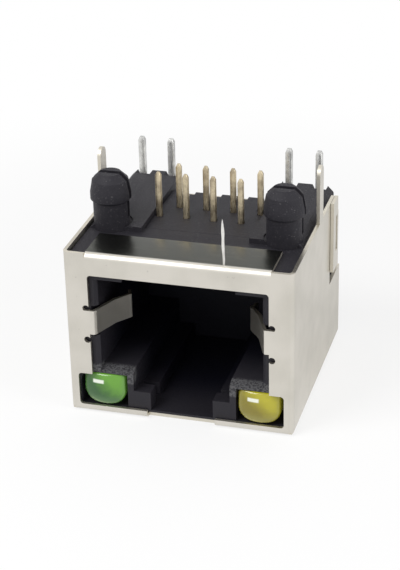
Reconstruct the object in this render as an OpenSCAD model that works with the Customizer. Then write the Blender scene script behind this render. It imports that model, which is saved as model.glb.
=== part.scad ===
// Shielded board jack for an eight-contact network plug, lying on its roof with its board side up.
// X runs across the plug port, Y from the port to the back, Z from the roof to the board side.

/* [Shield] */
// Width over the two side walls
shield_w = 16.5; // [16.3:0.1:17.5]
// Depth from the front plate to the rear cover
shield_d = 15.8; // [15.7:0.1:17]
// Height from the roof to the edges next to the board
shield_h = 12.7; // [12.6:0.05:13]
// Thickness of the shield sheet
sheet_t = 0.25; // [0.2:0.05:0.3]
// Outer radius of the folds
fold_r = 0.45; // [0.4:0.05:0.6]
// Width of the flange folded back over the board side
flange_w = 13.3; // [12.5:0.1:14]
// Depth of that flange behind the front plate
flange_d = 3.5; // [2.5:0.1:3.9]

/* [Front windows] */
// Width of the front plate left on each side of the plug window
window_jamb = 1.75; // [1.6:0.05:1.95]
// Height of the front plate left between the plug window and the board side
window_head = 1.67; // [1.4:0.01:1.9]
// Width of the front plate left on each side of the lamp windows
lamp_jamb = 0.7; // [0.6:0.05:0.8]
// Height of the top edge of the lamp windows
lamp_window_top = 3.15; // [3.1:0.05:3.3]
// Height of the lip left under the windows
lip_h = 0.6; // [0.5:0.05:0.7]
// Width of the gap in that lip for the plug's latch
latch_gap_w = 5; // [4.6:0.1:6]
// Radius of the window corners
window_r = 0.25; // [0.1:0.05:0.4]

/* [Grounding fingers] */
// Lower edge of each finger
finger_z = 6.39; // [6:0.01:6.6]
// Width of the strip that each finger is folded from
finger_h = 1.86; // [1.5:0.01:2]
// How far the finger's root stands into the window
finger_root = 0.5; // [0.4:0.05:0.6]
// How far the finger's crest stands in from its root
finger_reach = 1.5; // [1:0.1:1.6]
// How far the crest lies behind the front plate
finger_run = 3.3; // [2.8:0.1:3.6]
// Radius of the relief notches at the finger's root
notch_r = 0.25; // [0.15:0.05:0.3]

/* [Ground tabs] */
// Width of each tab
tab_w = 1.2; // [1:0.1:1.6]
// Distance from the front plate to the middle of the tabs
tab_back = 8.9; // [8.4:0.1:9.3]
// How far the tabs stand out of the board face
tab_reach = 4.2; // [3.6:0.1:5]

/* [Rear cover] */
// Length of the ears that lap the side walls, from the back of the cover
ear_len = 3.7; // [3.4:0.1:3.9]
// Length of the low part of each ear
ear_low_len = 2.15; // [2:0.05:2.3]
// Lower edge of the ears
ear_z = 7.1; // [6.9:0.1:7.5]
// How far the low part of each ear stops below the shield's edge
ear_low_drop = 1.2; // [0.7:0.1:1.7]
// How far the cover stops below the shield's edge between its ears
cover_drop = 1.9; // [1.7:0.1:2.3]
// How far the cover's back corners are set in from the side walls
cover_step = 0.05; // [0:0.01:0.1]
// Lower edge of the relief under the ears
relief_z = 6.07; // [5.8:0.01:6.3]
// Width of the hem that tucks the cover under the housing
hem_w = 12; // [8:0.5:14]
// Depth of that hem
hem_d = 1; // [0.6:0.1:1.4]
// Width of the latch slot in each ear
slot_w = 0.55; // [0.5:0.05:0.7]
// Height of the latch slot in each ear
slot_h = 2.8; // [2.4:0.1:3]

/* [Housing] */
// Free play between the housing and the shield on each side
play = 0.1; // [0.06:0.01:0.12]
// How far the feet that the board rests on stand over the shield's edge
foot_rise = 0.1; // [0.05:0.01:0.5]
// How far the deck between the feet lies below the shield's edge
deck_sink = 0.3; // [0.3:0.05:0.5]
// Width of the deck left outside the outermost contacts
deck_rim = 0.17; // [0.12:0.01:0.3]
// Distance from the front plate to the feet
foot_front = 4.8; // [4.5:0.1:5.1]
// Distance from the feet to the rear cover's outer face
foot_back = 0.7; // [0.5:0.05:0.8]
// Distance from the front plate to the back edge of the deck
deck_len = 12.65; // [12.5:0.05:12.9]
// How far the housing behind the deck lies below the shield's edge
tail_block_drop = 2.5; // [2.3:0.1:2.9]
// Width of the bevel along the outer edge of the feet
foot_bevel = 0.5; // [0.2:0.05:0.7]

/* [Plug port] */
// How far each side of the port stands in from the edge of the plug window
port_lip = 0.55; // [0.5:0.01:0.6]
// Depth of the port behind the front plate
port_d = 12.1; // [11.8:0.1:12.4]
// Thickness of the housing between the port and the deck
port_roof = 1.8; // [1.7:0.05:2]
// Height of the ledges that carry the plug
ledge_z = 3.55; // [3.45:0.05:3.7]
// Width of the latch channel between the ledges
channel_w = 7.1; // [6.9:0.1:7.2]
// Height of the channel's floor
floor_z = 0.55; // [0.5:0.01:0.6]
// Gap between the two latch stops
stop_gap = 4.6; // [4.4:0.1:5]
// Height of the latch stops
stop_z = 1.95; // [1.8:0.05:2.1]
// Depth of the latch stops
stop_d = 1.2; // [1:0.1:1.5]
// Height of the rails behind the stops
rail_z = 1.55; // [1.4:0.05:1.7]

/* [Contacts] */
// Distance from one contact to the next
contact_pitch = 1.02; // [1:0.01:1.03]
// Distance from the front plate to the front row of tails
row_back = 8.02; // [7.9:0.01:8.2]
// Distance between the two rows of tails
row_gap = 1.78; // [1.7:0.01:1.9]
// Width of a contact
contact_w = 0.42; // [0.35:0.01:0.5]
// Thickness of a contact
contact_t = 0.38; // [0.3:0.01:0.4]
// How far the tails stand out of the board face
tail_reach = 3; // [2.6:0.1:3.6]
// How deep the middle of the level runs lies below the deck
run_depth = 1.05; // [1:0.01:1.1]
// Distance from the front plate to the front loops
loop_back = 2; // [1.7:0.1:2.3]
// Radius of the front loops at the middle of the wire
loop_r = 0.55; // [0.5:0.01:0.6]
// Slope of the sprung beams
beam_slope = 19; // [17:1:20]
// Length of the sprung beams
beam_len = 6.4; // [6:0.1:6.6]

/* [Lamps] */
// Distance from the side of the shield to the middle of a lamp
lamp_side = 2.535; // [2.5:0.005:2.55]
// Width of a lamp
lamp_w = 3.1; // [3:0.05:3.15]
// Height of a lamp
lamp_h = 2.48; // [2.4:0.01:2.5]
// Length of a lamp
lamp_len = 4.7; // [4.2:0.1:5]
// Radius of the lamp's round underside
lamp_belly_r = 1.75; // [1.7:0.05:2]
// Radius of the lamp's domed front
lamp_dome_r = 3.6; // [3:0.1:5]
// Distance between the two leads of a lamp
lead_pitch = 2.29; // [2.2:0.01:2.3]
// Side of a lead's square section
lead_t = 0.5; // [0.4:0.01:0.5]
// Distance from the rear cover's outer face to the upright stretches of the leads
lead_back = 1.18; // [1.15:0.01:1.25]
// Height of the level stretches of the leads
lead_z = 1.9; // [1.8:0.05:2]
// How far the leads stand out of the board face
lead_reach = 2.9; // [2.4:0.1:3.6]

/* [Board pegs] */
// Distance from the side of the shield to the axis of a peg
peg_side = 1.9; // [1.8:0.01:2]
// Distance from the front plate to the axes of the pegs
peg_back = 5.48; // [5.3:0.01:5.6]
// Diameter of a peg's foot
peg_d = 2.6; // [2.5:0.05:2.64]
// Diameter of a peg's swollen head
peg_head_d = 2.95; // [2.9:0.05:3]
// Height of the foot of a peg over the board face
peg_foot_h = 1.7; // [1.5:0.1:1.9]
// How far the pegs stand out of the board face
peg_reach = 3.8; // [3.4:0.1:4.2]
// Depth of the relief ring round the root of a peg
peg_ring = 0.1; // [0.05:0.05:0.2]
// Length of the straight band round a peg's head
peg_band = 0.5; // [0.3:0.1:1]
// Width and height of the chamfer round a peg's tip
peg_chamfer = 0.5; // [0.3:0.05:0.7]
// Width of the split in each peg
peg_split = 0.42; // [0.3:0.01:0.6]

/* [Front sliver] */
// Place of the sliver of raised metal on the front fold
sliver_x = 3.28; // [3:0.01:4]
// Width of the sliver at its root
sliver_w = 0.26; // [0.15:0.01:0.3]
// Length of the sliver
sliver_len = 3.4; // [3:0.1:3.6]

/* [Hidden] */
$fn = 48;

over = 1;                     // how far a cut runs past what it cuts
slip = 0.02;                  // clearance round what slides into a slot
contact_count = 8;
front_y = -shield_d / 2;
back_y = shield_d / 2;
half_w = shield_w / 2;
window_w = shield_w - 2 * window_jamb;
window_top = shield_h - window_head;
lamp_window_w = shield_w - 2 * lamp_jamb;
plate_y = front_y + sheet_t;  // inner face of the front plate
wall_x = half_w - sheet_t;    // inner face of a side wall
body_x = wall_x - play;       // side face of the housing
body_front = plate_y + play;
body_back = back_y - sheet_t - play;
body_z = sheet_t + play;      // face of the housing next to the roof
board_z = shield_h + foot_rise;
deck_z = shield_h - deck_sink;
deck_w = (contact_count - 1) * contact_pitch + contact_w + 2 * deck_rim;
deck_back_y = front_y + deck_len;
tail_block_z = shield_h - tail_block_drop;
foot_front_y = front_y + foot_front;
foot_back_y = back_y - foot_back;
port_w = window_w - 2 * port_lip;
port_back = front_y + port_d;
port_top = deck_z - port_roof;
tab_y = front_y + tab_back;
tab_top = board_z + tab_reach;
cover_w = shield_w - 2 * cover_step;
cover_top = shield_h - cover_drop;
ear_front_y = back_y - ear_len;
ear_step_y = back_y - ear_low_len;
ear_low_top = shield_h - ear_low_drop;
ear_x = half_w + slip + sheet_t / 2;
ear_bend_y = ear_step_y + slip + sheet_t / 2;
row_y = front_y + row_back;
run_back_y = row_y + row_gap;
run_z = deck_z - run_depth;
tail_top = board_z + tail_reach;
loop_y = front_y + loop_back;
lamp_x = half_w - lamp_side;
lead_play = 0.05;             // clearance of a lamp's lead in its channel
lead_y = back_y - lead_back;
lead_top = board_z + lead_reach;
peg_x = half_w - peg_side;
peg_y = front_y + peg_back;
peg_seam_z = board_z + peg_foot_h;
peg_top = board_z + peg_reach;
carrier_front_y = peg_y + peg_split / 2;

// Rectangle between two corners, its two low corners rounded
module low_rounded(x0, x1, y0, y1, r) {
    translate([x0, y0 + r]) square([x1 - x0, y1 - y0 - r]);
    translate([x0 + r, y0]) square([x1 - x0 - 2 * r, y1 - y0]);
    for (x = [x0 + r, x1 - r]) translate([x, y0 + r]) circle(r);
}

// Rectangle between two corners, all four corners rounded
module soft_rect(x0, x1, y0, y1, r) {
    translate([x0, y0 + r]) square([x1 - x0, y1 - y0 - 2 * r]);
    translate([x0 + r, y0]) square([x1 - x0 - 2 * r, y1 - y0]);
    for (x = [x0 + r, x1 - r], y = [y0 + r, y1 - r]) translate([x, y]) circle(r);
}

// Strip of sheet of thickness t, seen on edge, along a path of points
module strip(path, t) {
    for (i = [0 : len(path) - 2]) {
        p = path[i];
        step = path[i + 1] - p;
        translate(p) rotate(atan2(step.y, step.x))
            translate([0, -t / 2]) square([norm(step), t]);
    }
    for (i = [1 : len(path) - 2]) translate(path[i]) circle(t / 2);
}

// Quarter or other piece of a bent wire, seen on edge, about the origin
module bend(r, t, a0, a1) {
    reach = 2 * (r + t);
    intersection() {
        difference() {
            circle(r + t / 2);
            circle(r - t / 2);
        }
        polygon([[0, 0], reach * [cos(a0), sin(a0)], reach * [cos((a0 + a1) / 2), sin((a0 + a1) / 2)],
                 reach * [cos(a1), sin(a1)]]);
    }
}

// Draws a figure of the Y-Z plane and gives it a width along X about the place x
module along_x(x, w) {
    translate([x - w / 2, 0, 0])
        rotate([90, 0, 90]) linear_extrude(w) children();
}

// Draws a figure of the X-Z plane and gives it a depth along Y from y0 to y1
module along_y(y0, y1) {
    translate([0, y1, 0]) rotate([90, 0, 0]) linear_extrude(y1 - y0) children();
}

// Box between two corners
module box(low, high) {
    translate(low) cube(high - low);
}

// A figure and its mirror image across the middle plane
module both_sides() {
    children();
    mirror([1, 0, 0]) children();
}

// ---- Shield ----

// Solid with the shield's outer form, set in all round by inset
module shield_blank(inset) {
    r = max(fold_r - inset, slip);
    top = shield_h + inset * over / sheet_t;
    back = back_y + inset * over / sheet_t;
    intersection() {
        linear_extrude(top)
            low_rounded(inset - half_w, half_w - inset, front_y + inset, back, r);
        along_y(front_y - over, back)
            low_rounded(inset - half_w, half_w - inset, inset, top, r);
        along_x(0, shield_w + over)
            low_rounded(front_y + inset, back + shield_d, inset, top, r);
    }
}

module front_windows() {
    along_y(front_y - over, plate_y + slip) {
        soft_rect(-window_w / 2, window_w / 2, lip_h, window_top, window_r);
        soft_rect(-lamp_window_w / 2, lamp_window_w / 2, lip_h, lamp_window_top, window_r);
    }
    along_y(front_y - over, front_y + fold_r + play)
        soft_rect(-latch_gap_w / 2, latch_gap_w / 2, -over, lip_h + window_r, window_r);
    along_y(front_y - over, plate_y + slip)
        both_sides()
            for (z = [finger_z - notch_r * 1.8, finger_z + finger_h + notch_r * 0.7])
                translate([window_w / 2 + notch_r * 0.8, z]) circle(notch_r);
}

// One finger, folded in from the edge of the plug window
module finger() {
    root = window_w / 2 - finger_root;
    mid_y = front_y + sheet_t / 2;
    crest = [root - finger_reach, front_y + finger_run];
    translate([0, 0, finger_z]) linear_extrude(finger_h)
        strip([[window_w / 2 + 2 * notch_r, mid_y],
               [root + sheet_t * 0.9, mid_y],
               [root + sheet_t * 0.45, mid_y + sheet_t * 0.7],
               [root - finger_reach * 0.43, front_y + finger_run * 0.66],
               crest,
               crest + [sheet_t, sheet_t * 2.4]], sheet_t);
}

module top_flange() {
    along_x(0, flange_w) {
        translate([front_y + fold_r, shield_h - fold_r])
            bend(fold_r - sheet_t / 2, sheet_t, 90, 180);
        translate([front_y + fold_r - slip, shield_h - sheet_t])
            square([flange_d - fold_r + slip, sheet_t]);
    }
}

module ground_tab() {
    along_x(half_w - sheet_t / 2, sheet_t) {
        translate([tab_y - tab_w / 2, shield_h - over])
            square([tab_w, tab_top - tab_w / 2 - shield_h + over]);
        translate([tab_y, tab_top - tab_w / 2]) circle(tab_w / 2);
    }
}

// Small barb that the slot of an ear snaps over
module latch_barb() {
    barb_y = ear_front_y + 0.95;
    translate([half_w - slip, barb_y, ear_z + (shield_h - ear_z - slot_h) / 2 + 0.3])
        linear_extrude(slot_h - 0.6)
            polygon([[0, 0], [sheet_t * 0.7, 0], [0, slot_w * 0.7]]);
}

module shield_shell() {
    color("gainsboro") {
        difference() {
            shield_blank(0);
            shield_blank(sheet_t);
            front_windows();
            box([-flange_w / 2, front_y - over, shield_h - fold_r],
                [flange_w / 2, plate_y + slip, shield_h + over]);
            both_sides() {
                box([wall_x - slip, ear_front_y, relief_z],
                    [half_w + over, back_y + over, ear_z + slip]);
                box([wall_x - slip, ear_step_y - lead_play, relief_z],
                    [half_w + over, back_y + over, shield_h + over]);
                translate([wall_x, front_y, sheet_t / 2]) sphere(sheet_t * 0.7);
            }
        }
        top_flange();
        both_sides() {
            finger();
            ground_tab();
            latch_barb();
        }
    }
}

// ---- Rear cover ----

module rear_cover() {
    side_x = cover_w / 2 - sheet_t / 2;
    mid_y = back_y - sheet_t / 2;
    slot_y = ear_front_y + 0.8;
    plan = [[0, mid_y], [side_x - fold_r, mid_y], [side_x, mid_y - fold_r],
            [side_x, ear_bend_y + 0.4], [ear_x, ear_bend_y], [ear_x, ear_front_y]];
    color("silver") {
        difference() {
            translate([0, 0, ear_z]) linear_extrude(shield_h - ear_z)
                both_sides() strip(plan, sheet_t);
            box([-half_w - over, ear_step_y, ear_low_top],
                [half_w + over, back_y + over, shield_h + over]);
            box([fold_r - cover_w / 2, ear_step_y, cover_top],
                [cover_w / 2 - fold_r, back_y + over, shield_h]);
            both_sides()
                translate([0, slot_y, ear_z + (shield_h - ear_z - slot_h) / 2])
                    cube([half_w + over, slot_w, slot_h]);
        }
        along_y(back_y - sheet_t, back_y)
            low_rounded(slip - wall_x, wall_x - slip, sheet_t + slip, ear_z + slip, fold_r);
        box([-hem_w / 2, body_back - hem_d, sheet_t],
            [hem_w / 2, back_y - sheet_t + slip, 2 * sheet_t]);
    }
}

// ---- Housing ----

module peg() {
    r = peg_d / 2;
    head_r = peg_head_d / 2;
    swell = head_r - r;
    band_z = peg_seam_z + swell;
    shoulder_z = peg_top - peg_chamfer;
    translate([peg_x, peg_y, 0]) difference() {
        rotate_extrude()
            polygon([[0, deck_z - over], [r, deck_z - over], [r, peg_seam_z], [head_r, band_z],
                     [head_r, band_z + peg_band], [r, shoulder_z], [r - peg_chamfer, peg_top], [0, peg_top]]);
        box([-head_r - over, -peg_split / 2, board_z + peg_split],
            [head_r + over, peg_split / 2, peg_top + over]);
    }
}

// Relief round the root of a peg, so that the board lies flat on the foot
module peg_relief() {
    translate([peg_x, peg_y, board_z - peg_ring]) cylinder(h = over, r = peg_head_d / 2 + slip);
}

// Foot beside the sunk deck, with its outer edge bevelled
module foot() {
    along_y(foot_front_y, foot_back_y)
        polygon([[deck_w / 2, body_z], [body_x, body_z], [body_x, board_z - foot_bevel],
                 [body_x - foot_bevel, board_z], [deck_w / 2, board_z]]);
}

// Bay of one lamp, the channels of its leads and the funnels where they leave
module lamp_bay() {
    bay_in = lamp_x - lamp_w / 2 - 0.16;
    bay_out = lamp_window_w / 2 - lead_play;
    free = lead_t / 2 + lead_play;
    box([bay_in, body_front - over, floor_z - slip], [bay_out, front_y + lamp_len + play, lamp_window_top]);
    for (x = [lamp_x - lead_pitch / 2, lamp_x + lead_pitch / 2]) {
        box([x - free, front_y + lamp_len, lead_z - free], [x + free, lead_y + free, lead_z + free]);
        box([x - free, lead_y - free, lead_z - free], [x + free, back_y, board_z + over]);
        along_x(x, 2 * free)
            polygon([[lead_y - free - lead_t, lead_z], [lead_y, lead_z], [lead_y, lead_z + free + lead_t]]);
        along_y(lead_y - free, foot_back_y + over)
            polygon([[x - free, board_z - 2 * free], [x + free, board_z - 2 * free],
                     [x + 2 * free, board_z + slip], [x - 2 * free, board_z + slip]]);
    }
}

// Room for the finger beside the port
module finger_room() {
    room_x = window_w / 2 - sheet_t / 4;
    side = port_w / 2 - slip;
    translate([0, 0, finger_z - sheet_t]) linear_extrude(finger_h + 2 * sheet_t)
        polygon([[side, body_front - over], [room_x, body_front - over], [room_x, front_y + 1.1],
                 [side, front_y + 1.8]]);
}

module port() {
    side = port_w / 2;
    flare = window_w / 2 - 0.3;
    lead_in = flare - side;
    translate([0, 0, ledge_z]) linear_extrude(port_top - ledge_z)
        polygon([[-flare, body_front - over], [flare, body_front - over], [flare, body_front],
                 [side, body_front + lead_in], [side, port_back], [-side, port_back],
                 [-side, body_front + lead_in], [-flare, body_front]]);
    // sloped front of the ledges, which guides the plug in
    along_x(0, 2 * side)
        polygon([[body_front - slip, ledge_z - lead_in], [body_front + 3 * lead_in, ledge_z + slip],
                 [body_front - slip, ledge_z + slip]]);
}

module latch_channel() {
    rail_front = front_y + 2 * stop_d + 0.2;
    difference() {
        box([-channel_w / 2, body_front - over, floor_z], [channel_w / 2, port_back, ledge_z + slip]);
        both_sides() {
            box([stop_gap / 2, body_front - over, floor_z - over],
                [channel_w / 2 + over, body_front + stop_d, stop_z]);
            box([stop_gap / 2, rail_front, floor_z - over],
                [channel_w / 2 + over, port_back + over, rail_z]);
        }
    }
}

module housing() {
    carrier_free = deck_w / 2;
    bay_w = contact_pitch * contact_count;
    color("#1d1c21") {
        difference() {
            intersection() {
                union() {
                    box([-body_x, body_front, body_z], [body_x, deck_back_y, deck_z]);
                    box([-body_x, deck_back_y - over, body_z], [body_x, body_back, tail_block_z]);
                    both_sides() foot();
                }
                shield_blank(sheet_t + play);
            }
            port();
            latch_channel();
            both_sides() {
                lamp_bay();
                finger_room();
                peg_relief();
            }
            // bay over the port that the level runs of the contacts lie in
            box([-bay_w / 2, body_front - over, port_top - slip],
                [bay_w / 2, carrier_front_y, run_z + contact_t]);
            // pocket of the contact carrier
            box([-carrier_free, carrier_front_y - slip, port_top - slip],
                [carrier_free, deck_back_y + over, board_z + over]);
            // room for the hem and the corners of the rear cover
            box([-hem_w / 2 - play, body_back - hem_d - play, body_z - over],
                [hem_w / 2 + play, back_y, 2 * sheet_t + play]);
            both_sides() linear_extrude(shield_h)
                polygon([[body_x - fold_r, body_back + slip], [body_x + slip, body_back - fold_r],
                         [body_x + slip, body_back + slip]]);
        }
        both_sides() peg();
    }
}

// ---- Contacts ----

function contact_x(i) = (i - (contact_count + 1) / 2) * contact_pitch;
function tail_y(i) = i % 2 == 1 ? row_y : run_back_y;

// Edge view of a contact whose tail stands at the place y
module contact_edge(y) {
    t = contact_t;
    r = contact_t;
    // tail with its tip cut to a blunt wedge
    translate([y - t / 2, run_z + r]) square([t, tail_top - run_z - r - t / 2]);
    translate([y, tail_top - t / 2])
        polygon([[-t / 2, 0], [t / 2, 0], [t / 4, t / 2], [-t / 4, t / 2]]);
    translate([y - r, run_z + r]) bend(r, t, -90, 0);
    translate([loop_y, run_z - t / 2]) square([y - r - loop_y, t]);
    translate([loop_y, run_z - loop_r]) {
        bend(loop_r, t, 90, 180);
        bend(loop_r, t, 180, 270 - beam_slope);
        rotate(-beam_slope) translate([-slip, -loop_r - t / 2]) square([beam_len + slip, t]);
    }
}

module contact(i) {
    color("#b08d4a") along_x(contact_x(i), contact_w) contact_edge(tail_y(i));
}

module contact_carrier() {
    free = contact_t / 2 + slip;
    color("#26242a") difference() {
        box([slip - deck_w / 2, carrier_front_y, port_top], [deck_w / 2 - slip, deck_back_y, deck_z]);
        for (i = [1 : contact_count]) {
            x = contact_x(i);
            y = tail_y(i);
            half = contact_w / 2 + slip;
            box([x - half, carrier_front_y - over, run_z - free], [x + half, y + free, run_z + free]);
            box([x - half, y - free, run_z - free], [x + half, y + free, deck_z + over]);
            box([x - half, y - 2 * free, run_z], [x + half, y, run_z + 2 * free]);
        }
        // shallow chutes behind the back row, one for each back tail
        for (i = [2 : 2 : contact_count])
            box([contact_x(i) - contact_w, run_back_y + 2 * free, deck_z - free],
                [contact_x(i) + contact_w, deck_back_y + over, deck_z + over]);
    }
}

// ---- Lamps ----

module lamp(side, tint) {
    low = floor_z + play;
    mid_z = low + lamp_h / 2;
    color(tint) translate([side * lamp_x, 0, 0]) intersection() {
        along_y(front_y, front_y + lamp_len) intersection() {
            translate([-lamp_w / 2, low]) square([lamp_w, lamp_h]);
            union() {
                translate([0, low + lamp_belly_r]) circle(lamp_belly_r);
                translate([-lamp_w / 2, low + lamp_belly_r]) square([lamp_w, lamp_h]);
            }
        }
        union() {
            translate([0, front_y + lamp_dome_r, mid_z]) sphere(lamp_dome_r, $fn = 96);
            box([-lamp_w, front_y + lamp_dome_r, low - over], [lamp_w, front_y + lamp_len + over, mid_z + lamp_h]);
        }
    }
}

function lead_x(i) = lamp_x * (i < 3 ? -1 : 1) + lead_pitch * (i % 2 == 1 ? -0.5 : 0.5);

module lamp_lead(i) {
    r = lead_t * 1.2;
    start_y = front_y + lamp_len;
    color("lightgray") along_x(lead_x(i), lead_t) {
        translate([start_y, lead_z - lead_t / 2]) square([lead_y - r - start_y, lead_t]);
        translate([lead_y - r, lead_z + r]) bend(r, lead_t, -90, 0);
        translate([lead_y - lead_t / 2, lead_z + r]) square([lead_t, lead_top - lead_z - r]);
    }
}

// ---- Sliver ----

module edge_sliver() {
    color("whitesmoke") along_y(front_y + fold_r, front_y + fold_r + sliver_w / 3)
        polygon([[sliver_x - sliver_w / 2, shield_h], [sliver_x + sliver_w / 2, shield_h],
                 [sliver_x - sliver_w / 4, shield_h + sliver_len]]);
}

shield_shell();
rear_cover();
housing();
contact_carrier();
for (i = [1 : contact_count])
    contact(i);
lamp(-1, "#5bb040");  // lamp_green
lamp(1, "#d0cf30");  // lamp_yellow
for (i = [1 : 4])
    lamp_lead(i);
edge_sliver();
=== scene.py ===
# %% [markdown]
# # A shielded board jack, dressed over its solids
# The jack lies on its roof with its board side up. A steel shield is folded round a black moulding,
# lamps fill the lower corners of the window, and wires rise out of the board side. The solids are
# already measured, so every piece here takes its place and its size from them. Lengths are written in
# millimetres and turned into metres by the factor MM.

import math

import bmesh
import bpy
from mathutils import Matrix, Vector


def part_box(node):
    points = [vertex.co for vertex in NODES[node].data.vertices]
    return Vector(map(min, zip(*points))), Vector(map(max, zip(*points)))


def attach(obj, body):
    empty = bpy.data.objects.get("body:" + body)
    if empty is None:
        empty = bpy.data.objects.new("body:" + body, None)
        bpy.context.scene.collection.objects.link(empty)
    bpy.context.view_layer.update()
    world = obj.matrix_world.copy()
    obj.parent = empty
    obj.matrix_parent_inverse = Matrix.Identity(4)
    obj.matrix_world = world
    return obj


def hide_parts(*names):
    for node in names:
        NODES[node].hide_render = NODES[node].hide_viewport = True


MM = 0.001
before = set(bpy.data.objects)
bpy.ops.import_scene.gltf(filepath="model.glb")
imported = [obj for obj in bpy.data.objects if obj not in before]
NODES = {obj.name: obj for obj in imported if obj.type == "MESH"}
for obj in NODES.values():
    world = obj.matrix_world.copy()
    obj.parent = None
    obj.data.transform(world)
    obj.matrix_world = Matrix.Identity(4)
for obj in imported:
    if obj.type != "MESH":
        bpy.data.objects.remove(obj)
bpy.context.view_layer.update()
print("solids loaded:", len(NODES))

# %% [markdown]
# ## Camera
# A long lens stands a little above the jack and to its right. Its place is built from three axes: the
# level direction to the right, the line back from the jack to the lens, and their cross product. A small
# roll turns the first two about the third.

# %% Camera
AZIMUTH, ELEVATION, ROLL = (math.radians(a) for a in (16.275, 26.741, -1.437))
AIM = Vector((-0.648, 0.1205, 7.028))
DISTANCE = 121.95
LENS, SENSOR = 148.68, 36

level = Vector((math.cos(AZIMUTH), math.sin(AZIMUTH), 0))
back = Vector((math.sin(AZIMUTH) * math.cos(ELEVATION), -math.cos(AZIMUTH) * math.cos(ELEVATION),
               math.sin(ELEVATION)))
upright = back.cross(level)
right = math.cos(ROLL) * level + math.sin(ROLL) * upright
up = math.cos(ROLL) * upright - math.sin(ROLL) * level

lens = bpy.data.cameras.new("lens")
lens.lens, lens.sensor_width, lens.sensor_fit = LENS, SENSOR, "HORIZONTAL"
lens.clip_start, lens.clip_end = MM, 10
camera = bpy.data.objects.new("camera", lens)
axes = Matrix((right, up, back)).transposed().to_4x4()
axes.translation = (AIM + back * DISTANCE) * MM
camera.matrix_world = axes
bpy.context.scene.collection.objects.link(camera)
bpy.context.scene.camera = camera
bpy.context.scene.view_settings.view_transform = "Standard"
print("camera at", [round(v, 4) for v in axes.translation])

# %% [markdown]
# ## A small language for node graphs
# Materials and geometry trees are both graphs of nodes. One class makes any node from its type, its
# settings and the values or links of its sockets. A socket comes back wrapped, so sums are written as
# plain expressions and each operator adds its Math node.

# %% Graph helper
class Signal:
    """The output of a node, which takes part in sums as a number does."""

    def __init__(self, graph, socket):
        self.graph, self.socket = graph, socket

    def _sum(self, how, first, second):
        return self.graph.node("ShaderNodeMath", {"operation": how}, {0: first, 1: second})

    def __add__(self, other): return self._sum("ADD", self, other)
    def __radd__(self, other): return self._sum("ADD", other, self)
    def __sub__(self, other): return self._sum("SUBTRACT", self, other)
    def __rsub__(self, other): return self._sum("SUBTRACT", other, self)
    def __mul__(self, other): return self._sum("MULTIPLY", self, other)
    def __rmul__(self, other): return self._sum("MULTIPLY", other, self)
    def __truediv__(self, other): return self._sum("DIVIDE", self, other)
    def __gt__(self, other): return self._sum("GREATER_THAN", self, other)
    def __lt__(self, other): return self._sum("LESS_THAN", self, other)


class Graph:
    """A node tree to which nodes are added one call at a time."""

    def __init__(self, tree):
        self.tree = tree

    def node(self, kind, settings=None, sockets=None, out=0):
        made = self.tree.nodes.new(kind)
        for name, value in (settings or {}).items():
            if name == "stops":
                ramp = made.color_ramp
                while len(ramp.elements) < len(value):
                    ramp.elements.new(1)
                for stop, (place, shade) in zip(ramp.elements, value):
                    stop.position, stop.color = place, (*shade, 1)
            else:
                setattr(made, name, value)
        for key, value in (sockets or {}).items():
            if isinstance(value, Signal):
                self.tree.links.new(value.socket, made.inputs[key])
            else:
                made.inputs[key].default_value = value
        return Signal(self, made.outputs[out]) if made.outputs else made


class Finish(Graph):
    """A material on the Principled shader, with coordinates in millimetres."""

    def __init__(self, name, **fixed):
        self.material = bpy.data.materials.new(name)
        self.material.use_nodes = True
        super().__init__(self.material.node_tree)
        self.shader = self.tree.nodes["Principled BSDF"]
        for key, value in fixed.items():
            self.shader.inputs[key.replace("_", " ")].default_value = value
        raw = self.node("ShaderNodeTexCoord", out=3)
        self.at = self.node("ShaderNodeVectorMath", {"operation": "SCALE"}, {0: raw, "Scale": 1 / MM})

    def axis(self, index):
        return self.node("ShaderNodeSeparateXYZ", None, {0: self.at}, out=index)

    def turned(self, angles=(0, 0, 0), scale=(1, 1, 1), place=(0, 0, 0)):
        return self.node("ShaderNodeMapping", None,
                         {"Vector": self.at, "Location": place, "Rotation": angles, "Scale": scale})

    def noise(self, scale, detail=3, rough=0.55, at=None):
        return self.node("ShaderNodeTexNoise", None, {"Vector": at or self.at, "Scale": scale,
                                                      "Detail": detail, "Roughness": rough})

    def step(self, value, low, high, to_low=0, to_high=1):
        return self.node("ShaderNodeMapRange", {"interpolation_type": "SMOOTHSTEP"},
                         {"Value": value, "From Min": low, "From Max": high,
                          "To Min": to_low, "To Max": to_high})

    def band(self, value, low, high, soft):
        return self.step(value, low - soft, low) * (1 - self.step(value, high, high + soft))

    def blend(self, share, first, second):
        pair = [v if isinstance(v, Signal) else (*v, 1) for v in (first, second)]
        return self.node("ShaderNodeMix", {"data_type": "RGBA"},
                         {0: share, 6: pair[0], 7: pair[1]}, out=2)

    def bump(self, height, strength, depth):
        return self.node("ShaderNodeBump", None, {"Height": height, "Strength": strength,
                                                  "Distance": depth * MM})

    def feed(self, **values):
        for key, value in values.items():
            self.tree.links.new(value.socket, self.shader.inputs[key.replace("_", " ")])
        return self.material


print("graph helper ready")

# %% [markdown]
# ## World
# A small part is photographed in a white tent. The world could be one even white, but then its light
# would wash the colours out. So it looks white to the camera and in reflections, and lights the jack at
# a lower level, and colours come out as they are written.

# %% World
WORLD_LEVEL = 0.55
world = bpy.data.worlds.new("studio")
world.use_nodes = True
bpy.context.scene.world = world
sky = Graph(world.node_tree)
path = [sky.node("ShaderNodeLightPath", out=i) for i in (0, 3, 6)]
seen = path[0] + path[1] + path[2] > 0.5
level_of_light = seen * (1 - WORLD_LEVEL) + WORLD_LEVEL
background = world.node_tree.nodes["Background"]
background.inputs["Color"].default_value = (1, 1, 1, 1)
world.node_tree.links.new(level_of_light.socket, background.inputs["Strength"])
print("world level for light:", WORLD_LEVEL)

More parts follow.
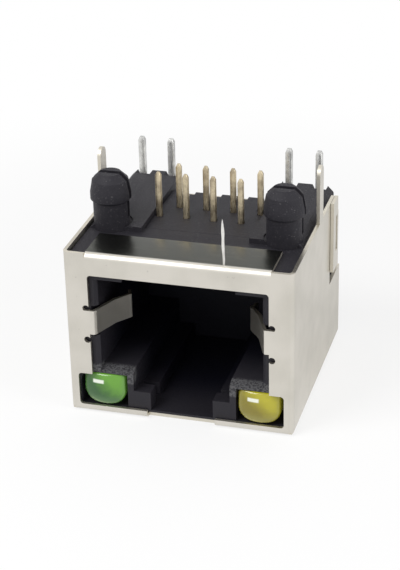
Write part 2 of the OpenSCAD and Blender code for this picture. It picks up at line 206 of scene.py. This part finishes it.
# %% [markdown]
# ## Panels of light
# Soft boxes leave broad highlights on metal, and an area lamp is the plain way to make one. The box over
# the left shoulder is the stronger one, and the box on the right only lifts the side wall.

# %% Panels of light
def panel(name, place, size, power):
    """A square lamp at a place in millimetres that faces the middle of the jack."""
    lamp = bpy.data.lights.new(name, "AREA")
    lamp.size, lamp.energy = size * MM, power
    holder = bpy.data.objects.new(name, lamp)
    holder.location = Vector(place) * MM
    holder.rotation_euler = (AIM - Vector(place)).to_track_quat("-Z", "Y").to_euler()
    bpy.context.scene.collection.objects.link(holder)
    print(name, "size", size, "mm")


panel("main_panel", (-60, -70, 110), 70, 0.10)
panel("side_panel", (110, -30, 60), 60, 0.05)

# %% [markdown]
# ## Floor
# The jack lies on white card, which has to look white and still keep a soft shadow. A plain surface
# would turn grey, so it is mixed with a glow: near the jack the camera sees more of the surface, and
# farther out the glow alone. In reflections only, the card behind the jack on the right is dimmed as
# painted shade, so the right side of the shield comes out a little darker than its front.

# %% Floor
FLOOR_HALF, FLOOR_Z = 900, -0.02
SHADOW_RING, WHITE_RING, SHADOW_GLOW = 26, 60, 0.72
MIRROR_GLOW, PAINTED_DIMMING = 0.9, 0.55


def plate(name, half, height):
    mesh = bpy.data.meshes.new(name)
    corners = [(-half, -half), (half, -half), (half, half), (-half, half)]
    mesh.from_pydata([Vector((x, y, height)) * MM for x, y in corners], [], [(0, 1, 2, 3)])
    thing = bpy.data.objects.new(name, mesh)
    bpy.context.scene.collection.objects.link(thing)
    return thing


floor = plate("floor", FLOOR_HALF, FLOOR_Z)
ground = Finish("ground", Roughness=0.9)
ground.shader.inputs["Base Color"].default_value = (0.9, 0.9, 0.9, 1)
glow = ground.node("ShaderNodeEmission", None, {"Color": (1, 1, 1, 1), "Strength": 1})
ground_seen = ground.node("ShaderNodeLightPath", out=0)
ground_mirror = ground.node("ShaderNodeLightPath", out=3) + ground.node("ShaderNodeLightPath", out=6)
away = ground.node("ShaderNodeVectorMath", {"operation": "LENGTH"}, {0: ground.at}, out=1)
clear_white = ground.step(away, SHADOW_RING, WHITE_RING, SHADOW_GLOW, 1.0)
# Painted shade: reflections see a dimmer patch of card behind the jack on the right.
painted_dim_patch = ground.step(ground.axis(1), -9, 4) * ground.step(ground.axis(0), 2, 9)
keep = ground_seen * clear_white + ground_mirror * (MIRROR_GLOW - painted_dim_patch * PAINTED_DIMMING)
mixed = ground.node("ShaderNodeMixShader", None,
                    {0: keep, 1: Signal(ground, ground.shader.outputs[0]), 2: glow})
ground.tree.links.new(mixed.socket, ground.tree.nodes["Material Output"].inputs["Surface"])
floor.data.materials.append(ground.material)
print("floor half width", FLOOR_HALF, "mm")

# %% [markdown]
# ## Taking over a solid
# A solid comes as loose triangles with razor-sharp corners. Sheet metal and mouldings have small rounds
# that catch the light, so a copy is welded, its flat areas are joined, and a narrow bevel is run along
# its corners. Before the bevel, the copy is split into smooth patches: a patch that is only as wide as
# the sheet is a cut edge, where the plating ends.

# %% Solid to dressed mesh
SAME_POINT = 0.0005
FLAT, CORNER = math.radians(0.5), math.radians(32)


def welded(node):
    """A bmesh of a solid with its triangles joined, its length unit still the metre."""
    form = bmesh.new()
    form.from_mesh(NODES[node].data)
    bmesh.ops.remove_doubles(form, verts=form.verts, dist=SAME_POINT * MM)
    bmesh.ops.dissolve_limit(form, angle_limit=FLAT, verts=form.verts, edges=form.edges)
    return form


def smooth_patches(form, bend):
    """Groups of faces that meet one another at less than the given angle."""
    waiting, groups = set(form.faces), []
    while waiting:
        group, edge_of = [], [waiting.pop()]
        while edge_of:
            face = edge_of.pop()
            group.append(face)
            for line in face.edges:
                if len(line.link_faces) == 2 and line.calc_face_angle(0) < bend:
                    for other in line.link_faces:
                        if other in waiting:
                            waiting.remove(other)
                            edge_of.append(other)
        groups.append(group)
    return groups


def mark_cut_edges(form, sheet):
    """Writes 1 into the attribute cut_edge on each patch that is as narrow as the sheet."""
    mark, count = form.faces.layers.float.new("cut_edge"), 0
    for group in smooth_patches(form, CORNER):
        inside = set(group)
        rim = sum(line.calc_length() for face in group for line in face.edges
                  if not all(other in inside for other in line.link_faces))
        area = sum(face.calc_area() for face in group)
        if rim and 2 * area / rim < sheet:
            count += 1
            for face in group:
                face[mark] = 1
    return count


def settle(thing, form, sharp=CORNER):
    """Moves a bmesh into an object, shades it smooth and keeps its corners."""
    form.to_mesh(thing.data)
    form.free()
    thing.data.shade_smooth()
    thing.data.set_sharp_from_angle(angle=sharp)


def baked(thing):
    """Replaces an object's mesh by what its modifiers make of it, and removes them."""
    bpy.context.view_layer.update()
    made = bpy.data.meshes.new_from_object(thing.evaluated_get(bpy.context.evaluated_depsgraph_get()))
    thing.modifiers.clear()
    thing.data = made
    return thing


def dress(name, node, round_mm, sheet=0.0, steps=2):
    """A bevelled copy of a solid, with its cut edges marked where a sheet thickness is given."""
    thing = bpy.data.objects.new(name, bpy.data.meshes.new(name))
    bpy.context.scene.collection.objects.link(thing)
    form = welded(node)
    cuts = mark_cut_edges(form, sheet * MM) if sheet else 0
    settle(thing, form)
    rounder = thing.modifiers.new("rounder", "BEVEL")
    rounder.width, rounder.segments = round_mm * MM, steps
    rounder.limit_method, rounder.angle_limit = "ANGLE", CORNER
    rounder.use_clamp_overlap = True
    rounder.harden_normals = True
    baked(thing)
    print(name, len(thing.data.polygons), "faces,", cuts, "cut edges")
    return thing


def wear(thing, finish, slot, *nodes):
    """Gives a piece its material and lets it stand for the named solids."""
    if finish.name not in [m.name for m in thing.data.materials if m]:
        thing.data.materials.clear()
        thing.data.materials.append(finish)
    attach(thing, "root")
    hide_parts(*nodes)
    return thing


# %% [markdown]
# ## Plated steel
# The shield is thin steel with a satin nickel plating: a rough mirror with fine upright grain and the
# odd speck. The flange on the board side is smoother and scratched slantwise, and the dark reflection
# of the pegs and wires in it is a painted reflection in its colour. A mask from the place on the jack
# tells the two apart, so one finish serves the whole sheet. The cut edges are a little warmer.

# %% Plated steel
SHIELD_FRONT, SHIELD_BACK = (v.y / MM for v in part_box("shield_shell"))
FLANGE_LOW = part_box("rear_cover")[1].z / MM - 0.02
SATIN = (0.60, 0.575, 0.515), (0.68, 0.65, 0.59)
# Painted reflection of the dark moulding on the flange, and the lighter tone of its scratches.
REFLECTION_AND_SCRATCH = (0.085, 0.087, 0.078), (0.24, 0.24, 0.215)
SPECK, CUT_EDGE = (0.45, 0.43, 0.39), (0.66, 0.62, 0.53)
FLANGE_D, FOLD_START, FOLD_END = 4, 0.34, 0.5
SCRATCH_TURN = math.radians(-33)
print("shield from y", round(SHIELD_FRONT, 2), "to", round(SHIELD_BACK, 2))


def plated(name):
    steel = Finish(name, Metallic=1.0)
    x, y, z = (steel.axis(i) for i in range(3))
    cloud = steel.noise(0.35, 2)
    grain = steel.noise(1.0, 4, 0.7, steel.turned(scale=(26, 26, 3)))
    specks = steel.step(steel.noise(3.2, 2, 0.6), 0.70, 0.78)
    cut = steel.node("ShaderNodeAttribute", {"attribute_name": "cut_edge"}, out=2)
    on_flange = steel.step(z, FLANGE_LOW - 0.05, FLANGE_LOW) * (y < SHIELD_FRONT + FLANGE_D)
    on_flange = on_flange * steel.step(y, SHIELD_FRONT + FOLD_START, SHIELD_FRONT + FOLD_END)
    scratch_at = steel.turned((0, 0, SCRATCH_TURN), (0.35, 14, 1))
    scratches = steel.step(steel.noise(1.0, 5, 0.75, scratch_at), 0.56, 0.72)
    satin = steel.blend(steel.step(cloud + grain * 0.35, 0.4, 0.9), *SATIN)
    satin = steel.blend(specks * 0.5, satin, SPECK)
    # The flange colour is a painted reflection, dark where it would mirror the moulding, lighter on
    # scratches.
    dark_reflection_and_scratches = steel.blend(scratches, *REFLECTION_AND_SCRATCH)
    colour = steel.blend(on_flange, satin, dark_reflection_and_scratches)
    colour = steel.blend(cut * 0.8, colour, CUT_EDGE)
    rough = steel.step(grain, 0.2, 0.8, 0.34, 0.46) - on_flange * 0.16 + cut * 0.05
    bump = steel.bump(grain + scratches * on_flange * 0.8, 0.25, 0.004)
    return steel.feed(Base_Color=colour, Roughness=rough, Normal=bump)


plate_finish = plated("plated_steel")
print("plated steel mixed")

# %% [markdown]
# ## Shield and rear cover
# The shield is one folded sheet and the cover a second one whose ears lap its side walls. Both were
# folded in the solids, so the copies only need rounded corners and marked edges.

# %% Shield and rear cover
SHEET, SHEET_ROUND = 0.27, 0.035
for name, node in (("shield_plate", "shield_shell"), ("cover_plate", "rear_cover")):
    wear(dress(name, node, SHEET_ROUND, SHEET), plate_finish, "shield_plate", node)

# %% [markdown]
# ## Black moulding
# Glass-filled nylon is nearly black, a little violet, and dull where it was moulded against blasted
# steel. The board side is the roughest, with small bright grains that are partly real and partly painted
# glints, the fronts of the two ledges carry a patchy painted highlight, and inside the port the walls
# are smooth and get a painted shade that darkens them deeper in. Masks from the place on the jack pick
# each look, which needs no seams between materials.

# %% Moulding finish
BOARD_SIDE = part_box("contact_carrier")[1].z / MM
NYLON = (0.010, 0.0095, 0.014), (0.028, 0.026, 0.032)
# The fleck colour is partly painted glints, the port colour is painted shade and the ledge colour is a
# painted highlight.
FLECK_AND_GLINT, PORT_PAINTED_SHADE, LEDGE_PAINTED_HIGHLIGHT = (0.17, 0.165, 0.17), (0.004, 0.004, 0.009), (0.13, 0.13, 0.135)
LEDGE_LOW, LEDGE_HIGH, LEDGE_IN, HIGHLIGHT_DEPTH = 2.6, 3.7, 2.2, 0.9


def moulding(name, coarse):
    nylon = Finish(name, IOR=1.46, Specular_IOR_Level=0.3)
    z = nylon.axis(2)
    y = nylon.axis(1)
    topside = nylon.step(z, BOARD_SIDE - 0.6, BOARD_SIDE - 0.1)
    grains = nylon.noise(7.5, 4, 0.65)
    # Bright grains on the board side, partly real and partly painted glints.
    flecks_and_glints = nylon.step(nylon.noise(10.5, 2, 0.5), 0.66, 0.74) * topside
    # Painted shade: the port walls darken deeper in.
    deep = nylon.step(y, SHIELD_FRONT + 1.0, SHIELD_FRONT + 6.0) * (1 - topside)
    base = nylon.blend(grains, *NYLON)
    base = nylon.blend(flecks_and_glints * coarse, base, FLECK_AND_GLINT)
    base = nylon.blend(deep, base, PORT_PAINTED_SHADE)
    side = nylon.node("ShaderNodeMath", {"operation": "ABSOLUTE"}, {0: nylon.axis(0)})
    # Painted highlight on the front edges of the two ledges, patchy with the grain.
    ledge_highlight = nylon.step(y, SHIELD_FRONT + HIGHLIGHT_DEPTH + 0.5, SHIELD_FRONT + HIGHLIGHT_DEPTH)
    ledge_highlight = ledge_highlight * nylon.step(side, LEDGE_IN, LEDGE_IN + 0.4)
    ledge_highlight = ledge_highlight * nylon.band(z, LEDGE_LOW, LEDGE_HIGH, 0.2) * nylon.step(grains, 0.35, 0.6)
    base = nylon.blend(ledge_highlight * 0.8, base, LEDGE_PAINTED_HIGHLIGHT)
    rough = nylon.step(grains, 0.3, 0.7, 0.42, 0.62) + topside * 0.06
    height = grains * (topside * 0.8 + 0.2)
    return nylon.feed(Base_Color=base, Roughness=rough, Normal=nylon.bump(height, 0.8, 0.05))


nylon_finish = moulding("black_nylon", 0.8)
print("board side at z", round(BOARD_SIDE, 2))

# %% [markdown]
# ## Housing and contact carrier
# The housing is one moulding with the port, the lamp bays, the feet and the split pegs. The carrier that
# holds the contacts is a second moulding pushed into its top.

# %% Housing and carrier
for name, node, round_mm, steps in (("housing_moulding", "housing", 0.06, 3),
                                    ("carrier_moulding", "contact_carrier", 0.04, 2)):
    wear(dress(name, node, round_mm, steps=steps), nylon_finish, "black_moulding", node)

# %% [markdown]
# ## Wires along a path
# Contacts and lamp leads are wire bent in one plane. Each is a line of corner points, and one geometry
# tree turns all lines into wire: it rounds the corners, thins the tips, sweeps a small rectangle along
# and sets the material. Its inputs are the sizes of the wire.

# %% Wire tree
def wire_tree():
    tree = bpy.data.node_groups.new("bent_wire", "GeometryNodeTree")
    face = tree.interface
    ids = {}
    for name, kind, default in (("Centre lines", "NodeSocketGeometry", None),
                                ("Wire width", "NodeSocketFloat", 0.4 * MM),
                                ("Wire thickness", "NodeSocketFloat", 0.4 * MM),
                                ("Corner round", "NodeSocketFloat", 0.05 * MM),
                                ("Bend radius", "NodeSocketFloat", 0.4 * MM),
                                ("Bend steps", "NodeSocketInt", 8),
                                ("Tip length", "NodeSocketFloat", 0.2 * MM),
                                ("Tip share", "NodeSocketFloat", 0.5),
                                ("Finish", "NodeSocketMaterial", None)):
        item = face.new_socket(name, in_out="INPUT", socket_type=kind)
        if default is not None:
            item.default_value = default
        ids[name] = item.identifier
    face.new_socket("Wires", in_out="OUTPUT", socket_type="NodeSocketGeometry")
    g = Graph(tree)
    source = tree.nodes.new("NodeGroupInput")
    given = {name: Signal(g, source.outputs[name]) for name in ids}
    lines = g.node("GeometryNodeMeshToCurve", None, {0: given["Centre lines"]})
    lines = g.node("GeometryNodeFilletCurve", {"mode": "POLY"},
                   {0: lines, 1: given["Bend steps"], 2: given["Bend radius"], 3: True})
    along = g.node("GeometryNodeSplineParameter", out=1)
    thinning = g.node("ShaderNodeMapRange", None,
                      {0: along, 1: 0.0, 2: given["Tip length"], 3: given["Tip share"], 4: 1.0})
    lines = g.node("GeometryNodeSetCurveRadius", None, {0: lines, 2: thinning})
    lines = g.node("GeometryNodeSetCurveNormal", {"mode": "FREE"}, {0: lines, 2: (1, 0, 0)})
    outline = g.node("GeometryNodeCurvePrimitiveQuadrilateral", {"mode": "RECTANGLE"},
                     {0: given["Wire width"], 1: given["Wire thickness"]})
    outline = g.node("GeometryNodeFilletCurve", {"mode": "POLY"},
                     {0: outline, 1: 3, 2: given["Corner round"], 3: True})
    swept = g.node("GeometryNodeCurveToMesh", None, {0: lines, 1: outline, 2: thinning, 3: True})
    swept = g.node("GeometryNodeRealizeInstances", None, {0: swept})
    swept = g.node("GeometryNodeSetMaterial", None, {0: swept, 2: given["Finish"]})
    sink = tree.nodes.new("NodeGroupOutput")
    tree.links.new(swept.socket, sink.inputs[0])
    return tree, ids


BENT_WIRE, WIRE_INPUTS = wire_tree()
WIRE_CORNER = math.radians(40)
print("wire tree has", len(WIRE_INPUTS), "inputs")


def wires(name, lines, **sizes):
    """Sweeps wire along several lines of points in millimetres, and makes one plain mesh of them."""
    points, edges = [], []
    for line in lines:
        start = len(points)
        points += [Vector(p) * MM for p in line]
        edges += [(i, i + 1) for i in range(start, len(points) - 1)]
    mesh = bpy.data.meshes.new(name)
    mesh.from_pydata(points, edges, [])
    thing = bpy.data.objects.new(name, mesh)
    bpy.context.scene.collection.objects.link(thing)
    maker = thing.modifiers.new("maker", "NODES")
    maker.node_group = BENT_WIRE
    for key, value in sizes.items():
        maker[WIRE_INPUTS[key.replace("_", " ")]] = value
    baked(thing)
    form = bmesh.new()
    form.from_mesh(thing.data)
    bmesh.ops.remove_doubles(form, verts=form.verts, dist=0.0002 * MM)
    bmesh.ops.recalc_face_normals(form, faces=form.faces)
    settle(thing, form, WIRE_CORNER)
    print(name, len(lines), "wires,", len(thing.data.polygons), "faces, size",
          [round(length / MM, 3) for length in thing.dimensions])
    return thing


# %% [markdown]
# ## Drawn metal
# The contacts are bronze with a thin plating that has dulled in patches, and the lamp leads are tinned.
# Both were drawn or rolled lengthwise, so one finish with noise stretched along the wire serves both,
# with two colours each. The light colour also runs in streaks along the wire as a painted reflection.

# %% Drawn metal
def drawn_metal(name, light, dark, painted_streak):
    metal = Finish(name, Metallic=1.0)
    lengthwise = metal.noise(1.0, 3, 0.6, metal.turned(scale=(18, 18, 1.4)))
    tarnish = metal.step(metal.noise(1.3, 3), 0.35, 0.7)
    shade = metal.blend(tarnish, light, dark)
    # Painted reflection: the light colour runs in streaks along the wire.
    shade = metal.blend(metal.step(lengthwise, 0.55, 0.75) * painted_streak, shade, light)
    rough = metal.step(lengthwise, 0.3, 0.7, 0.22, 0.42)
    return metal.feed(Base_Color=shade, Roughness=rough, Normal=metal.bump(lengthwise, 0.3, 0.006))


bronze = drawn_metal("dulled_bronze", (0.66, 0.57, 0.40), (0.36, 0.30, 0.21), 0.6)
tinned = drawn_metal("tinned_wire", (0.72, 0.72, 0.70), (0.46, 0.46, 0.45), 0.5)
print("wire finishes mixed")

# %% [markdown]
# ## Contact springs
# Each contact is one strip: a tail that goes through the board, a level run under the deck, a loop at
# the front and a sprung beam that slopes back into the port. The tails stand in two staggered rows, and
# a short taper helps them into the board's holes. Each line is worked out from its solid's box.

# %% Contact springs
CONTACTS = [f"contact_{i}" for i in range(1, 9)]
CONTACT_W, CONTACT_T, LOOP_R, SLOPE, BEAM = 0.42, 0.38, 0.55, math.radians(19), 6.4
RUN_Z = BOARD_SIDE - 1.05
TIP, LOOP_STEPS = 0.25, 9


def contact_line(node):
    low, high = (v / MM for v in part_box(node))
    x, tail, loop = (low.x + high.x) / 2, high.y - CONTACT_T / 2, low.y + LOOP_R + CONTACT_T / 2
    line = [(x, tail, high.z), (x, tail, high.z - TIP), (x, tail, RUN_Z)]
    for i in range(LOOP_STEPS + 1):
        turn = math.pi / 2 + i / LOOP_STEPS * (math.pi - SLOPE)
        line.append((x, loop + LOOP_R * math.cos(turn), RUN_Z - LOOP_R + LOOP_R * math.sin(turn)))
    _, y, z = line[-1]
    line.append((x, y + BEAM * math.cos(SLOPE), z - BEAM * math.sin(SLOPE)))
    return line


contacts = wires("contact_springs", [contact_line(n) for n in CONTACTS],
                 Wire_width=CONTACT_W * MM, Wire_thickness=CONTACT_T * MM, Corner_round=0.07 * MM,
                 Bend_radius=0.38 * MM, Bend_steps=6, Tip_length=TIP * MM, Tip_share=0.5, Finish=bronze)
wear(contacts, bronze, "contact_metal", *CONTACTS)

# %% [markdown]
# ## Lamp leads
# A lamp has two square leads, tinned, which run back through the housing and up through the board side.
# They use the same wire tree as the contacts, with a line of one bend.

# %% Lamp leads
LEADS = [f"lamp_lead_{i}" for i in range(1, 5)]
LEAD_T = 0.5


def lead_line(node):
    low, high = (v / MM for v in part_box(node))
    x, y, z = (low.x + high.x) / 2, high.y - LEAD_T / 2, low.z + LEAD_T / 2
    return [(x, y, high.z), (x, y, high.z - TIP), (x, y, z), (x, low.y, z)]


leads = wires("lamp_wires", [lead_line(n) for n in LEADS],
              Wire_width=LEAD_T * MM, Wire_thickness=LEAD_T * MM, Corner_round=0.07 * MM,
              Bend_radius=0.6 * MM, Bend_steps=8, Tip_length=TIP * MM, Tip_share=0.6, Finish=tinned)
wear(leads, tinned, "tinned_wire", *LEADS)

# %% [markdown]
# ## Lamp lenses
# A lens is cast resin with a flat top, upright sides, round lower corners, a belly that hangs a little
# and a front that bulges. Its outline is drawn once and repeated in rings: small rings make the bulge
# and full rings the length, so the faces follow the form as a turned or cast piece would.

# %% Lens outline and rings
BELLY, LENS_LOW_R, LENS_TOP_R, BULGE_R, LENS_EDGE = 0.35, 0.75, 0.3, 3.6, 0.16
LENS_SLIP, LENS_SHORT, CRISP = 0.01, 0.995, math.radians(50)
ARC_STEPS, EDGE_STEPS = 12, 6


def lens_outline(half, low, high, count=96):
    """Evenly spaced points round the lens, seen from the front, about its centre."""
    points = []
    for quarter, radius in enumerate((LENS_LOW_R, LENS_TOP_R, LENS_TOP_R, LENS_LOW_R)):
        side, foot = (1, 1, -1, -1)[quarter], quarter in (0, 3)
        x, z = side * (half - radius), low + radius if foot else high - radius
        for i in range(ARC_STEPS + 1):
            a = (quarter - 1 + i / ARC_STEPS) * math.pi / 2
            point_x = x + radius * math.cos(a)
            sag = BELLY * (point_x / half) ** 2 if foot else 0
            points.append((point_x, z + sag + radius * math.sin(a)))
    run = half - LENS_LOW_R
    across = [run * (i / ARC_STEPS - 1) for i in range(1, 2 * ARC_STEPS)]
    points += [(x, low + BELLY * (x / half) ** 2) for x in across]
    points.append(points[0])
    lengths = [0.0]
    for p, q in zip(points, points[1:]):
        lengths.append(lengths[-1] + math.dist(p, q))
    even, j = [], 0
    for i in range(count):
        want = lengths[-1] * i / count
        while lengths[j + 1] < want:
            j += 1
        share = (want - lengths[j]) / max(lengths[j + 1] - lengths[j], 1e-9)
        even.append(tuple(a + (b - a) * share for a, b in zip(points[j], points[j + 1])))
    middle = (low + high) / 2
    print("lens outline", len(even), "points, belly", BELLY)
    return [(x, z - middle) for x, z in even], middle


def bulge(x, z):
    """How far a point of the front stands back from its foremost point."""
    return BULGE_R - math.sqrt(BULGE_R ** 2 - x ** 2 - z ** 2)


def lens_piece(name, node):
    low, high = (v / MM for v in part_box(node))
    centre_x, half = (low.x + high.x) / 2, (high.x - low.x) / 2 - LENS_SLIP
    outline, middle = lens_outline(half, low.z + LENS_SLIP, high.z - LENS_SLIP)
    rings = []
    for share in (0.12, 0.26, 0.4, 0.54, 0.67, 0.78, 0.86):
        rings.append([(x * share, bulge(x * share, z * share), z * share) for x, z in outline])
    for i in range(EDGE_STEPS + 1):
        turn = i / EDGE_STEPS * math.pi / 2
        inset = LENS_EDGE * (1 - math.sin(turn))
        ring = []
        for x, z in outline:
            r = math.hypot(x, z)
            k = (r - inset) / r
            back_of_edge = bulge(x * k, z * k) + LENS_EDGE * (1 - math.cos(turn))
            ring.append((x * k, back_of_edge, z * k))
        rings.append(ring)
    length = high.y - low.y
    for share in (0.4, 0.7, 1.0):
        rings.append([(x, max(y, length * share), z) for x, y, z in rings[-1]])
    form = bmesh.new()
    front = low.y + LENS_SLIP
    rows = [[form.verts.new(Vector((centre_x + x, front + y * LENS_SHORT, middle + z)) * MM)
             for x, y, z in ring] for ring in rings]
    tip = form.verts.new(Vector((centre_x, front, middle)) * MM)
    count = len(outline)
    for i in range(count):
        form.faces.new((tip, rows[0][i], rows[0][(i + 1) % count]))
        for inner, outer in zip(rows, rows[1:]):
            form.faces.new((inner[i], outer[i], outer[(i + 1) % count], inner[(i + 1) % count]))
    form.faces.new(rows[-1])
    bmesh.ops.recalc_face_normals(form, faces=form.faces)
    thing = bpy.data.objects.new(name, bpy.data.meshes.new(name))
    bpy.context.scene.collection.objects.link(thing)
    settle(thing, form, CRISP)
    print(name, len(thing.data.polygons), "faces")
    return thing, (centre_x, middle, half)


# %% [markdown]
# ## Dyed resin
# The resin is dyed through and polished. It has a small painted glow, its colour is painted lighter at
# its rim and its belly, and it holds a painted highlight: one short white streak where a soft box would
# reflect. Glass with dye inside would need long light paths, so the depth is painted: a cloud of two
# tints, a pale rim and the streak.

# %% Dyed resin
HIGHLIGHT_STREAK, STREAK_X, STREAK_Z = (0.85, 0.88, 0.80), (-0.75, -0.05), (0.58, 0.74)


def resin(name, centre, deep, clear, pale_painted_light):
    # The small emission is a painted glow: the lamp is not lit.
    dyed = Finish(name, IOR=1.5, Emission_Strength=0.10, Coat_Roughness=0.03)
    dyed.shader.inputs["Coat Weight"].default_value = 0.5
    x, z = dyed.axis(0) - centre[0], dyed.axis(2) - centre[1]
    out = dyed.node("ShaderNodeMath", {"operation": "ABSOLUTE"}, {0: x}) * (1 / centre[2])
    rim = dyed.step(out, 0.72, 1.0)
    cloud = dyed.noise(1.1, 3, 0.6)
    # Painted light: the clear tint grows towards the top and the right, and the pale tint at the belly
    # and rim, where light would pass through the resin.
    painted_through_light = dyed.step(x + z * 1.2 + cloud * 1.6, 0.2, 2.4)
    shade = dyed.blend(painted_through_light, deep, clear)
    shade = dyed.blend(dyed.step(z, -0.3, -1.0) * 0.5 + rim * 0.35, shade, pale_painted_light)
    # Painted highlight: a short white streak where a soft box would reflect.
    painted_streak = dyed.band(x, *STREAK_X, 0.12) * dyed.band(z, *STREAK_Z, 0.1)
    shade = dyed.blend(painted_streak * 0.85, shade, HIGHLIGHT_STREAK)
    rough = dyed.step(cloud, 0.3, 0.7, 0.10, 0.2)
    ripple = dyed.bump(dyed.noise(1.6, 2), 0.25, 0.05)
    return dyed.feed(Base_Color=shade, Emission_Color=shade, Roughness=rough, Normal=ripple)


# %% [markdown]
# ## Green and yellow lens
# The two lamps are the same casting in two dyes, so one loop makes both. Each dye is three tints: deep
# in the resin, painted lighter where light would get through, and painted pale at the rim and belly.

# %% Green and yellow lens
GREENS = (0.013, 0.085, 0.008), (0.11, 0.30, 0.02), (0.10, 0.22, 0.07)
YELLOWS = (0.20, 0.165, 0.003), (0.42, 0.38, 0.01), (0.30, 0.28, 0.06)
for side, node, slot, tints in (("left", "lamp_green", "green_lens", GREENS),
                                ("right", "lamp_yellow", "yellow_lens", YELLOWS)):
    lens_thing, centre = lens_piece(f"{side}_lens", node)
    wear(lens_thing, resin(f"{side}_resin", centre, *tints), slot, node)

# %% [markdown]
# ## Raised sliver
# A hair of metal was torn up from the front fold when the shield was stamped. It is a thin ragged
# strip, narrow at its root, widest above the middle and pointed at its tip, so its sections are placed
# one by one up its height and joined.

# %% Sliver
SECTIONS, WIDEST = 22, 0.62


def sliver_piece(name, node):
    low, high = (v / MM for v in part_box(node))
    width, depth, height = high.x - low.x, high.y - low.y, high.z - low.z
    middle = Vector(((low.x + high.x) / 2, (low.y + high.y) / 2, 0))
    form, rows = bmesh.new(), []
    for i in range(SECTIONS + 1):
        t = i / SECTIONS
        ragged = 0.12 * math.sin(7.3 * t + 1) + 0.08 * math.sin(19 * t)
        if t < WIDEST:
            swell = 0.45 + 0.55 * math.sin(math.pi / 2 * t / WIDEST)
        else:
            swell = math.cos(math.pi / 2 * (t - WIDEST) / (1 - WIDEST)) ** 0.7
        half = width / 2 * 0.8 * swell * (1 + ragged) + 0.006
        half = min(half, width / 2)
        lean = -width / 4 * t + 0.02 * math.sin(11 * t) * (1 - t)
        thick = depth / 2 * (1 - 0.6 * t)
        rows.append([form.verts.new(Vector((middle.x + lean + sx * half, middle.y + sy * thick,
                                            low.z + t * height)) * MM)
                     for sx, sy in ((-1, -1), (1, -1), (1, 1), (-1, 1))])
    for a, b in zip(rows, rows[1:]):
        for i in range(4):
            form.faces.new((a[i], a[(i + 1) % 4], b[(i + 1) % 4], b[i]))
    form.faces.new(rows[0][::-1])
    form.faces.new(rows[-1])
    bmesh.ops.recalc_face_normals(form, faces=form.faces)
    thing = bpy.data.objects.new(name, bpy.data.meshes.new(name))
    bpy.context.scene.collection.objects.link(thing)
    settle(thing, form, CRISP)
    print(name, len(thing.data.polygons), "faces")
    return thing


torn = drawn_metal("torn_metal", (0.80, 0.79, 0.76), (0.62, 0.61, 0.58), 0.4)
wear(sliver_piece("torn_sliver", "edge_sliver"), torn, "shield_plate", "edge_sliver")
